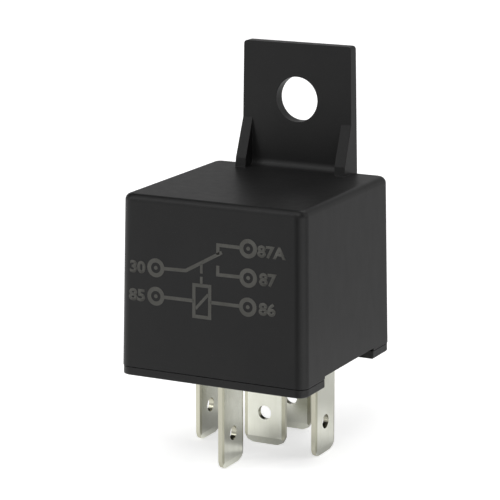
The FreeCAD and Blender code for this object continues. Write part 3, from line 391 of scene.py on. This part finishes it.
def wound_copper(name, pitch, soldered_from=None):
    """Enamelled copper with a rib for each turn along Z, and solder beyond a place along X."""
    finish = Finish(name)
    wave = finish.nodes.new("ShaderNodeTexWave")
    wave.bands_direction = "Z"
    wave.inputs["Scale"].default_value = WAVE_LENGTH / pitch
    wave.inputs["Distortion"].default_value = 0.4
    finish.links.new(finish.place, wave.inputs["Vector"])
    shade = finish.noise(1.1 * MM, 3.0)
    copper = finish.blend(shade, ENAMEL_DARK, ENAMEL_LIGHT)
    if soldered_from:
        split = finish.nodes.new("ShaderNodeSeparateXYZ")
        finish.links.new(finish.place, split.inputs[0])
        near_tag = finish.math("ABSOLUTE", split.outputs[0])
        soldered = finish.between(near_tag, soldered_from, soldered_from + 0.2 * MM)
        copper = finish.blend(soldered, copper, SOLDER)
    finish.join(copper, "Base Color")
    finish.join(finish.between(shade, 0.3, 0.7, start=0.22, end=0.34), "Roughness")
    finish.join(finish.bump(wave.outputs["Fac"], pitch / 4, 0.8), "Normal")
    finish.set(Metallic=1.0, Coat_Weight=0.6, Coat_Roughness=0.12)
    return finish


give(wound_copper("coil_copper", pitch=0.12 * MM), "winding")
lead_copper = wound_copper("lead_copper", pitch=0.5 * MM, soldered_from=7.6 * MM)
give(lead_copper, "coil_lead_85", "coil_lead_86")

# %% [markdown]
# One layer of amber polyester tape keeps the winding in place. Film is smooth and glossy, but it
# follows the wires below it, so faint ribs show through, and small trapped bubbles make it paler.

# %% Polyester tape
AMBER, PALE_AMBER = (0.62, 0.36, 0.04), (0.74, 0.55, 0.16)

tape = Finish("polyester_tape")
bubbles = tape.noise(0.7 * MM, 3.0, 0.6)
tape.join(tape.blend(tape.between(bubbles, 0.55, 0.75), AMBER, PALE_AMBER), "Base Color")
tape.join(tape.between(bubbles, 0.3, 0.8, start=0.16, end=0.32), "Roughness")
ribs = tape.noise(0.16 * MM, 1.0, 0.5, tape.stretched(0.1, 0.1, 1.0))
tape.join(tape.bump(ribs, 0.01 * MM, 0.5), "Normal")
tape.set(Coat_Weight=0.4, Coat_Roughness=0.08)
give(tape, "coil_tape")

# %% [markdown]
# Four small metals remain: the leaf that carries the moving contact, its brass rivets, the silver
# contacts, and the bright steel spring. They differ in colour and in how they were made, so one
# recipe takes two colours, the size of the marks, and a range of roughness.


# %% Leaf, rivets, contacts and spring
def small_metal(name, first, second, marks, smooth, rough):
    """A bare metal between two colours, with tool marks of one size and a range of roughness."""
    finish = Finish(name)
    stain = finish.noise(1.3 * MM, 4.0, 0.6)
    finish.join(finish.blend(finish.between(stain, 0.3, 0.7), first, second), "Base Color")
    tooling = finish.noise(marks, 3.0, 0.55)
    finish.join(finish.between(tooling, 0.25, 0.75, start=smooth, end=rough), "Roughness")
    finish.join(finish.bump(tooling, marks / 30, 0.6, finish.rounded(0.06 * MM)), "Normal")
    finish.set(Metallic=1.0)
    return finish


leaf_bronze = small_metal("leaf_bronze", (0.66, 0.34, 0.18), (0.58, 0.36, 0.17),
                          marks=0.25 * MM, smooth=0.20, rough=0.34)
rivet_brass = small_metal("rivet_brass", (0.70, 0.52, 0.24), (0.60, 0.42, 0.18),
                          marks=0.18 * MM, smooth=0.24, rough=0.40)
contact_silver = small_metal("contact_silver", (0.80, 0.79, 0.75), (0.66, 0.64, 0.58),
                             marks=0.12 * MM, smooth=0.22, rough=0.42)
spring_steel = small_metal("spring_steel", (0.52, 0.52, 0.53), (0.44, 0.43, 0.41),
                           marks=0.10 * MM, smooth=0.16, rough=0.30)
give(leaf_bronze, "contact_spring")
give(rivet_brass, "leaf_rivet_front", "leaf_rivet_rear")
give(contact_silver, "moving_contact", "fixed_contact_open", "fixed_contact_closed")
give(spring_steel, "return_spring")

# %% [markdown]
# The front face carries the circuit diagram: five ringed terminals with their standard numbers,
# the changeover contact, and the coil as a box with a slanted bar. On covers like this a laser
# often turns the black skin grey, which leaves flat strokes of one width. They could be a mask in
# the cover's material, but then nodes would have to work out each stroke. Thin pieces that lie on
# the face are plain shapes, and they follow the slight lean that the mould's draft gives it.

# %% The plane of the front face
LEAN = math.radians(1.0)
FACE_DEPTH = 14.2 * MM
MARK_RISE = 0.02 * MM
MARK_SINK = 0.03 * MM

face_up = Vector((0, math.sin(LEAN), math.cos(LEAN)))
face_out = Vector((0, -math.cos(LEAN), math.sin(LEAN)))
face_foot = Vector((0, -FACE_DEPTH, RAIL_LEVEL))


def on_face(x, height, out=MARK_RISE):
    """A place on the front face, in metres, from millimetres across and up the face."""
    return face_foot + Vector((x * MM, 0, 0)) + height * MM * face_up + out * face_out


print("front face leans by", round(math.degrees(LEAN), 2), "degrees")

# %% [markdown]
# Each mark is a low block with upright sides, whose foot is sunk into the cover. A stroke is given
# by its middle line and width. At a corner, the two sides are carried on until they meet, as a pen
# with a square nib would draw it, so the stroke keeps its width all the way round.


# %% Strokes, rings and dots
# A mitre grows as one over the cosine of half the turn, so that cosine is kept above this.
LEAST_COSINE = 0.3


def add_block(mesh, outline):
    """Raise a closed outline, given as places across and up the face, and return its upper rim."""
    tops = [mesh.verts.new(on_face(x, h, MARK_RISE)) for x, h in outline]
    feet = [mesh.verts.new(on_face(x, h, -MARK_SINK)) for x, h in outline]
    count = len(outline)
    for index in range(count):
        following = (index + 1) % count
        mesh.faces.new((tops[index], feet[index], feet[following], tops[following]))
    return tops


def add_stroke(mesh, middle, width):
    """A stroke along a line of places, with square ends and mitred corners."""
    points = [Vector((x, h, 0)) for x, h in middle]
    left, right = [], []
    for index, point in enumerate(points):
        before = (point - points[index - 1]).normalized() if index else None
        after = (points[index + 1] - point).normalized() if index < len(points) - 1 else None
        if before is None or after is None:
            along = before or after
            side = Vector((-along.y, along.x, 0)) * width / 2
        else:
            bisector = (before + after).normalized()
            cosine = max(LEAST_COSINE, bisector.dot(before))
            side = Vector((-bisector.y, bisector.x, 0)) * width / 2 / cosine
        left.append((point.x + side.x, point.y + side.y))
        right.append((point.x - side.x, point.y - side.y))
    for index in range(len(points) - 1):
        corners = [right[index], right[index + 1], left[index + 1], left[index]]
        mesh.faces.new(add_block(mesh, corners))


def add_ring(mesh, x, height, outer, inner, steps=56):
    """A flat ring; with an inner width of nothing it is a dot."""
    turns = [2 * math.pi * step / steps for step in range(steps)]
    circle = [(math.cos(turn), math.sin(turn)) for turn in turns]
    tops = add_block(mesh, [(x + outer / 2 * c, height + outer / 2 * s) for c, s in circle])
    if not inner:
        mesh.faces.new(tops)
        return
    inner_tops = add_block(mesh, [(x + inner / 2 * c, height + inner / 2 * s) for c, s in circle])
    for index in range(steps):
        following = (index + 1) % steps
        mesh.faces.new((tops[index], tops[following], inner_tops[following], inner_tops[index]))


def finish_mark(mesh, name, finish):
    """Turn the mesh into a piece that rides on the case."""
    bmesh.ops.recalc_face_normals(mesh, faces=mesh.faces)
    data = bpy.data.meshes.new(name)
    mesh.to_mesh(data)
    mesh.free()
    data.materials.append(finish.material)
    piece = bpy.data.objects.new(name, data)
    bpy.context.scene.collection.objects.link(piece)
    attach(piece, "case")
    print(name, "has", len(data.polygons), "faces")


# %% [markdown]
# Laser marking foams the nylon's skin: it turns a dull grey, a shade warmer than the plastic
# round it, and rough, with tiny pits. So the colour is broken up by fine noise, and the marks have
# almost no gloss.

# %% Foamed grey of the laser
FOAM_DARK, FOAM_LIGHT = (0.078, 0.077, 0.070), (0.094, 0.093, 0.085)
PIT_GREY = (0.035, 0.035, 0.032)

laser_grey = Finish("laser_grey")
pits = laser_grey.noise(0.13 * MM, 3.0, 0.7)
haze = laser_grey.noise(1.6 * MM, 2.0)
foam = laser_grey.blend(laser_grey.between(haze, 0.3, 0.7), FOAM_DARK, FOAM_LIGHT)
pitted = laser_grey.blend(laser_grey.between(pits, 0.58, 0.74, start=0.0, end=0.6), foam, PIT_GREY)
laser_grey.join(pitted, "Base Color")
laser_grey.join(laser_grey.between(pits, 0.3, 0.8, start=0.62, end=0.82), "Roughness")
laser_grey.join(laser_grey.bump(pits, 0.012 * MM, 0.6), "Normal")
laser_grey.set(IOR=1.5, Specular_IOR_Level=0.2)

# %% [markdown]
# The diagram's places were read from the photograph as millimetres across the face and up from
# its lower edge. The two contacts and one end of the coil stand in a column at the right, terminal
# 30 and the coil's other end at the left. Two wires bend at the contacts, and the arm leans from
# terminal 30 to the contact that it rests on.

# %% The circuit diagram
LINE_WIDTH = 0.48
RING_OUTER = 2.60
RING_INNER = 1.45
DOT_WIDTH = 0.54
TERMINALS = {
    "30": (-8.30, 15.43),
    "85": (-8.30, 11.52),
    "87A": (5.54, 19.48),
    "87": (5.57, 15.54),
    "86": (5.54, 11.60),
}

LEFT_X, RIGHT_X, OPEN_X = TERMINALS["30"][0], TERMINALS["87A"][0], TERMINALS["87"][0]
CONTACT_X = 1.06
ARM_FOOT, ARM_TIP = (-3.74, 15.54), (1.66, 18.56)
OVERLAP = 0.05
RING_REACH = RING_OUTER / 2 - OVERLAP

rings = bmesh.new()
for x, height in TERMINALS.values():
    add_ring(rings, x, height, RING_OUTER, RING_INNER)
    add_ring(rings, x, height, DOT_WIDTH, 0)
finish_mark(rings, "diagram_terminals", laser_grey)

WIRES = (
    ((LEFT_X + RING_REACH, 15.45), ARM_FOOT, ARM_TIP),
    ((CONTACT_X, 18.20), (CONTACT_X, 19.52), (RIGHT_X - RING_REACH, 19.50)),
    ((CONTACT_X, 16.72), (CONTACT_X, 15.50), (OPEN_X - RING_REACH, 15.54)),
    ((LEFT_X + RING_REACH, 11.52), (-2.55, 11.54)),
    ((-0.10, 11.60), (RIGHT_X - RING_REACH, 11.60)),
)
wires = bmesh.new()
for middle in WIRES:
    add_stroke(wires, middle, LINE_WIDTH)
finish_mark(wires, "diagram_wires", laser_grey)

# %% [markdown]
# The coil is a plain frame with a bar from its lower left to its upper right, and the dashed line
# over it says that the coil moves the contact arm. The frame is four strokes: the level ones run
# over the corners, and the upright ones fit between them, so no two of them overlap.

# %% The coil symbol and the dashed link
COIL_LEFT, COIL_RIGHT, COIL_LOW, COIL_HIGH = -2.50, -0.12, 9.44, 13.74
BAR_LOW, BAR_HIGH = 10.50, 12.62
LINK_X, LINK_DASHES = -1.40, ((13.90, 14.95), (15.40, 16.70))
THIN_LINE = LINE_WIDTH * 0.8

coil = bmesh.new()
half = LINE_WIDTH / 2
for level in (COIL_LOW, COIL_HIGH):
    add_stroke(coil, [(COIL_LEFT - half, level), (COIL_RIGHT + half, level)], LINE_WIDTH)
for x in (COIL_LEFT, COIL_RIGHT):
    add_stroke(coil, [(x, COIL_LOW + half), (x, COIL_HIGH - half)], LINE_WIDTH)
add_stroke(coil, [(COIL_LEFT + half, BAR_LOW), (COIL_RIGHT - half, BAR_HIGH)], THIN_LINE)
for low, high in LINK_DASHES:
    add_stroke(coil, [(LINK_X, low), (LINK_X, high)], THIN_LINE)
finish_mark(coil, "diagram_coil", laser_grey)

# %% [markdown]
# The terminal numbers are the ones that every relay of this kind carries: 30 is the supply, 85 and
# 86 the coil, 87 and 87A the two contacts. Blender's own sans font gives their shapes. The text is
# made a little heavier by moving its outline outwards, and turned into a mesh, so that it can
# be laid on the leaning face like the strokes. Its outline is measured and fitted to its box.

# %% The terminal numbers
HEAVIER = 0.044
NUMBER_BOXES = {
    "30": (-12.30, -9.88, 14.42, 16.14),
    "85": (-12.47, -9.95, 10.54, 12.27),
    "87A": (6.87, 11.05, 18.44, 20.14),
    "87": (7.18, 9.74, 14.64, 16.46),
    "86": (7.15, 9.65, 10.68, 12.49),
}


def number_mesh(text):
    """The flat outline of a number as a filled mesh."""
    letters = bpy.data.curves.new("number", "FONT")
    letters.body = text
    letters.offset = HEAVIER
    letters.resolution_u = 5
    shown = bpy.data.objects.new("number", letters)
    bpy.context.scene.collection.objects.link(shown)
    bpy.context.view_layer.update()
    drawn = bpy.data.meshes.new_from_object(shown)
    bpy.data.objects.remove(shown)
    bpy.data.curves.remove(letters)
    return drawn


for text, (left, right, low, high) in NUMBER_BOXES.items():
    drawn = number_mesh(text)
    mesh = bmesh.new()
    mesh.from_mesh(drawn)
    bpy.data.meshes.remove(drawn)
    xs = [vertex.co.x for vertex in mesh.verts]
    ys = [vertex.co.y for vertex in mesh.verts]
    first_x, width = min(xs), max(xs) - min(xs)
    first_y, tall = min(ys), max(ys) - min(ys)
    for vertex in mesh.verts:
        across = left + (vertex.co.x - first_x) / width * (right - left)
        up = low + (vertex.co.y - first_y) / tall * (high - low)
        vertex.co = on_face(across, up)
    raised = bmesh.ops.extrude_face_region(mesh, geom=mesh.faces[:])
    for element in raised["geom"]:
        if isinstance(element, bmesh.types.BMVert):
            element.co -= (MARK_RISE + MARK_SINK) * face_out
    finish_mark(mesh, "number_" + text, laser_grey)

# %% [markdown]
# The relay stands on a plain pale floor that runs far behind it, so no horizon shows. The floor is
# a matt off-white with the faintest paper grain. What the camera, gloss and glass see of it gets
# a little light of its own, which brings it to white, while the object's shadow stays.

# %% Floor
FLOOR_REACH = 4.0

floor_data = bpy.data.meshes.new("floor")
floor_mesh = bmesh.new()
bmesh.ops.create_grid(floor_mesh, x_segments=8, y_segments=8, size=FLOOR_REACH)
floor_mesh.to_mesh(floor_data)
floor_mesh.free()
floor = bpy.data.objects.new("floor", floor_data)
bpy.context.scene.collection.objects.link(floor)

pale = Finish("pale_floor")
paper = pale.blend(pale.noise(0.8 * MM, 2.0), (0.80, 0.80, 0.80), (0.83, 0.83, 0.83))
pale.set(Specular_IOR_Level=0.1, Roughness=0.9)
ray = pale.nodes.new("ShaderNodeLightPath")
mirrored = pale.math("MAXIMUM", ray.outputs["Is Glossy Ray"], ray.outputs["Is Transmission Ray"])
print("floor is", floor.dimensions.x, "m wide")

# %% [markdown]
# What gloss sees of the floor isn't equally bright everywhere: it gets painted shade and pools of
# light. They change with the distance from a spot and with the direction seen from the middle of the
# relay's foot. Both could be drawn in an image, but two short helpers work them out from the
# position, so that a patch of light or shade is one line.


# %% Distance and direction on the floor
def from_spot(finish, spot):
    """How far a place on the floor lies from a spot, in metres."""
    node = finish.nodes.new("ShaderNodeVectorMath")
    node.operation = "DISTANCE"
    finish.links.new(finish.place, node.inputs[0])
    node.inputs[1].default_value = spot
    return node.outputs["Value"]


def sector(finish, azimuth, rim, core, start=0.0, end=1.0):
    """From start at a sector's rim to end at its core, where rim and core are given as cosines."""
    unit = finish.nodes.new("ShaderNodeVectorMath")
    unit.operation = "NORMALIZE"
    finish.links.new(finish.place, unit.inputs[0])
    product = finish.nodes.new("ShaderNodeVectorMath")
    product.operation = "DOT_PRODUCT"
    finish.links.new(unit.outputs["Vector"], product.inputs[0])
    turn = math.radians(azimuth)
    product.inputs[1].default_value = (math.sin(turn), -math.cos(turn), 0)
    return finish.between(product.outputs["Value"], rim, core, start=start, end=end)


from_middle = from_spot(pale, (0, 0, 0))
print("azimuth 0 points out of the marked face, and 90 to the relay's right")

# %% [markdown]
# A glossy body is drawn by what it mirrors. In the photograph a narrow dark band runs down the
# corner that faces the camera, as if the plastic mirrored something dark there, and the blades are
# darker where they mirror the floor close to the relay. So the floor that gloss sees gets painted
# shade: it is darkened in a narrow sector in front and, in part, in a wide one behind. Both sectors
# begin a few centimetres from the middle. Five soft spots of painted shadow lie under the relay and
# behind it. Each has its place, the radius up to which it is full and the one where it ends, all in
# millimetres, and its darkness.

# %% Painted shade on the floor that gloss sees
FRONT_SHADE_AZIMUTH, BEHIND_SHADE_AZIMUTH = 10, 150
EDGE_START, EDGE_END = 0.045, 0.070
BEHIND_SHADE_DARKNESS = 0.48
SHADE_GREY = (0.03, 0.03, 0.03)
SHADE_SPOTS = (
    (6, 1, 5, 13, 0.50),
    (6, -2, 3, 8, 0.50),
    (-6, 9, 4, 9, 0.60),
    (3, 21, 6, 15, 0.42),
    (27, 32, 10, 22, 0.38),
)

# Painted shade: a dark sector in front and a wide dim one behind, seen only by gloss.
past_edge = pale.between(from_middle, EDGE_START, EDGE_END)
front_painted_shade = pale.math("MULTIPLY", past_edge, sector(pale, FRONT_SHADE_AZIMUTH, rim=0.945, core=0.99))
behind_painted_shade = sector(pale, BEHIND_SHADE_AZIMUTH, rim=0.45, core=0.95, end=BEHIND_SHADE_DARKNESS)
behind_painted_shade = pale.math("MULTIPLY", past_edge, behind_painted_shade)
dim = pale.math("MAXIMUM", front_painted_shade, behind_painted_shade)
# Painted shadow: soft dark spots under and behind the relay.
for x, y, full, gone, darkness in SHADE_SPOTS:
    away = from_spot(pale, (x * MM, y * MM, 0))
    dim = pale.math("MAXIMUM", dim, pale.between(away, full * MM, gone * MM, start=darkness, end=0.0))
# The painted shade turns the floor's colour grey, only where gloss and glass see it.
pale.join(pale.blend(pale.math("MULTIPLY", dim, mirrored), paper, SHADE_GREY), "Base Color")
print("gloss sees", len(SHADE_SPOTS), "soft spots of shade")

# %% [markdown]
# The floor's own light comes last. The camera sees a plain fill that brings the floor to white and
# grows a little with the distance. Gloss sees two brighter pools, at the right and at the left,
# which the rounded upright corners mirror as their sheen. A lamp on the floor could do this, but
# it would light the relay as well, and here only what is mirrored should change.

# %% The floor's own light
FILL_NEAR, FILL_FAR, FILL_DISTANCE = 0.60, 0.80, 0.9
POOL_AZIMUTH = 68
SHEEN, POOL_RIGHT, POOL_LEFT = 0.50, 1.40, 0.80

fill = pale.between(from_middle, 0.0, FILL_DISTANCE, start=FILL_NEAR, end=FILL_FAR)
pool_right = sector(pale, POOL_AZIMUTH, rim=0.88, core=0.97, start=SHEEN, end=POOL_RIGHT)
pool_left = sector(pale, -POOL_AZIMUTH, rim=0.80, core=0.96, start=SHEEN, end=POOL_LEFT)
pool = pale.math("MAXIMUM", pool_right, pool_left)
# The same painted shade also dims the floor's glow that gloss sees.
sheen = pale.math("MULTIPLY", pool, pale.math("SUBTRACT", 1.0, dim))
camera_part = pale.math("MULTIPLY", ray.outputs["Is Camera Ray"], fill)
mirror_part = pale.math("MULTIPLY", mirrored, sheen)
glow = pale.nodes.new("ShaderNodeEmission")
glow.inputs["Color"].default_value = (1.0, 1.0, 1.0, 1.0)
pale.links.new(pale.math("ADD", camera_part, mirror_part), glow.inputs["Strength"])
both = pale.nodes.new("ShaderNodeAddShader")
output = [node for node in pale.nodes if node.type == "OUTPUT_MATERIAL"][0]
pale.links.new(pale.shader.outputs[0], both.inputs[0])
pale.links.new(glow.outputs[0], both.inputs[1])
pale.links.new(both.outputs[0], output.inputs["Surface"])
floor_data.materials.append(pale.material)
print("the floor's nodes:", len(pale.nodes))

# %% [markdown]
# The world is the studio's walls, which light the relay softly from all sides, and a dim ceiling.
# They lie beyond the floor, out of the camera's sight. The walls are a plain mid level that fills
# the shadows, and they fade into the ceiling between two heights. These are given as the sine of
# the elevation, because that is what the direction's Z says. The ceiling is dim, so that the light
# from above comes mostly from the softboxes.

# %% World
WALL_LEVEL, CEILING_LEVEL = 0.60, 0.06
WALL_TOP, CEILING_EDGE = 0.25, 0.5

world = bpy.data.worlds.new("studio_walls")
world.use_nodes = True
bpy.context.scene.world = world
sky = world.node_tree.nodes
direction = sky.new("ShaderNodeTexCoord").outputs["Generated"]
split = sky.new("ShaderNodeSeparateXYZ")
world.node_tree.links.new(direction, split.inputs[0])
fade = sky.new("ShaderNodeMapRange")
fade.clamp = True
limits = {"From Min": WALL_TOP, "From Max": CEILING_EDGE, "To Min": WALL_LEVEL, "To Max": CEILING_LEVEL}
for name, number in limits.items():
    fade.inputs[name].default_value = number
world.node_tree.links.new(split.outputs["Z"], fade.inputs["Value"])
sky["Background"].inputs["Color"].default_value = (1.0, 1.0, 1.0, 1.0)
world.node_tree.links.new(fade.outputs["Result"], sky["Background"].inputs["Strength"])
print("walls at", WALL_LEVEL, "and ceiling at", CEILING_LEVEL, "of white")

# %% [markdown]
# Five softboxes do the rest: a large one overhead, a small one high in front, one behind, one at
# the right for the side face, and one at the left in front for the marked face. Each is described
# by where it stands, in degrees and metres, by its width and height, and by the level at which it
# would show a white card that faces it. An area light of power P, seen from the distance d, gives
# about P / (pi * pi * d * d), so the power follows from the level.


# %% Softboxes
LAMP_AIM = Vector((0, 0, 0.03))


def softbox(name, azimuth, elevation, distance, width, height, level):
    """A rectangular light aimed at the relay's middle, which shows a white card at that level."""
    a, e = math.radians(azimuth), math.radians(elevation)
    outwards = Vector((math.sin(a) * math.cos(e), -math.cos(a) * math.cos(e), math.sin(e)))
    lamp = bpy.data.lights.new(name, "AREA")
    lamp.shape = "RECTANGLE"
    lamp.size = width
    lamp.size_y = height
    lamp.energy = level * math.pi ** 2 * distance ** 2
    box = bpy.data.objects.new(name, lamp)
    box.rotation_mode = "QUATERNION"
    box.location = LAMP_AIM + distance * outwards
    box.rotation_quaternion = (-outwards).to_track_quat("-Z", "Y")
    bpy.context.scene.collection.objects.link(box)
    print(name, round(lamp.energy, 2), "W")


softbox("overhead", azimuth=-15, elevation=64, distance=0.80, width=0.80, height=0.80, level=0.48)
softbox("high_front", azimuth=28, elevation=47, distance=0.80, width=0.20, height=0.20, level=0.13)
softbox("behind", azimuth=172, elevation=52, distance=0.80, width=0.50, height=0.40, level=0.16)
softbox("right_side", azimuth=110, elevation=30, distance=0.60, width=0.40, height=0.50, level=0.20)
softbox("left_front", azimuth=-46, elevation=26, distance=0.80, width=0.40, height=0.50, level=0.19)
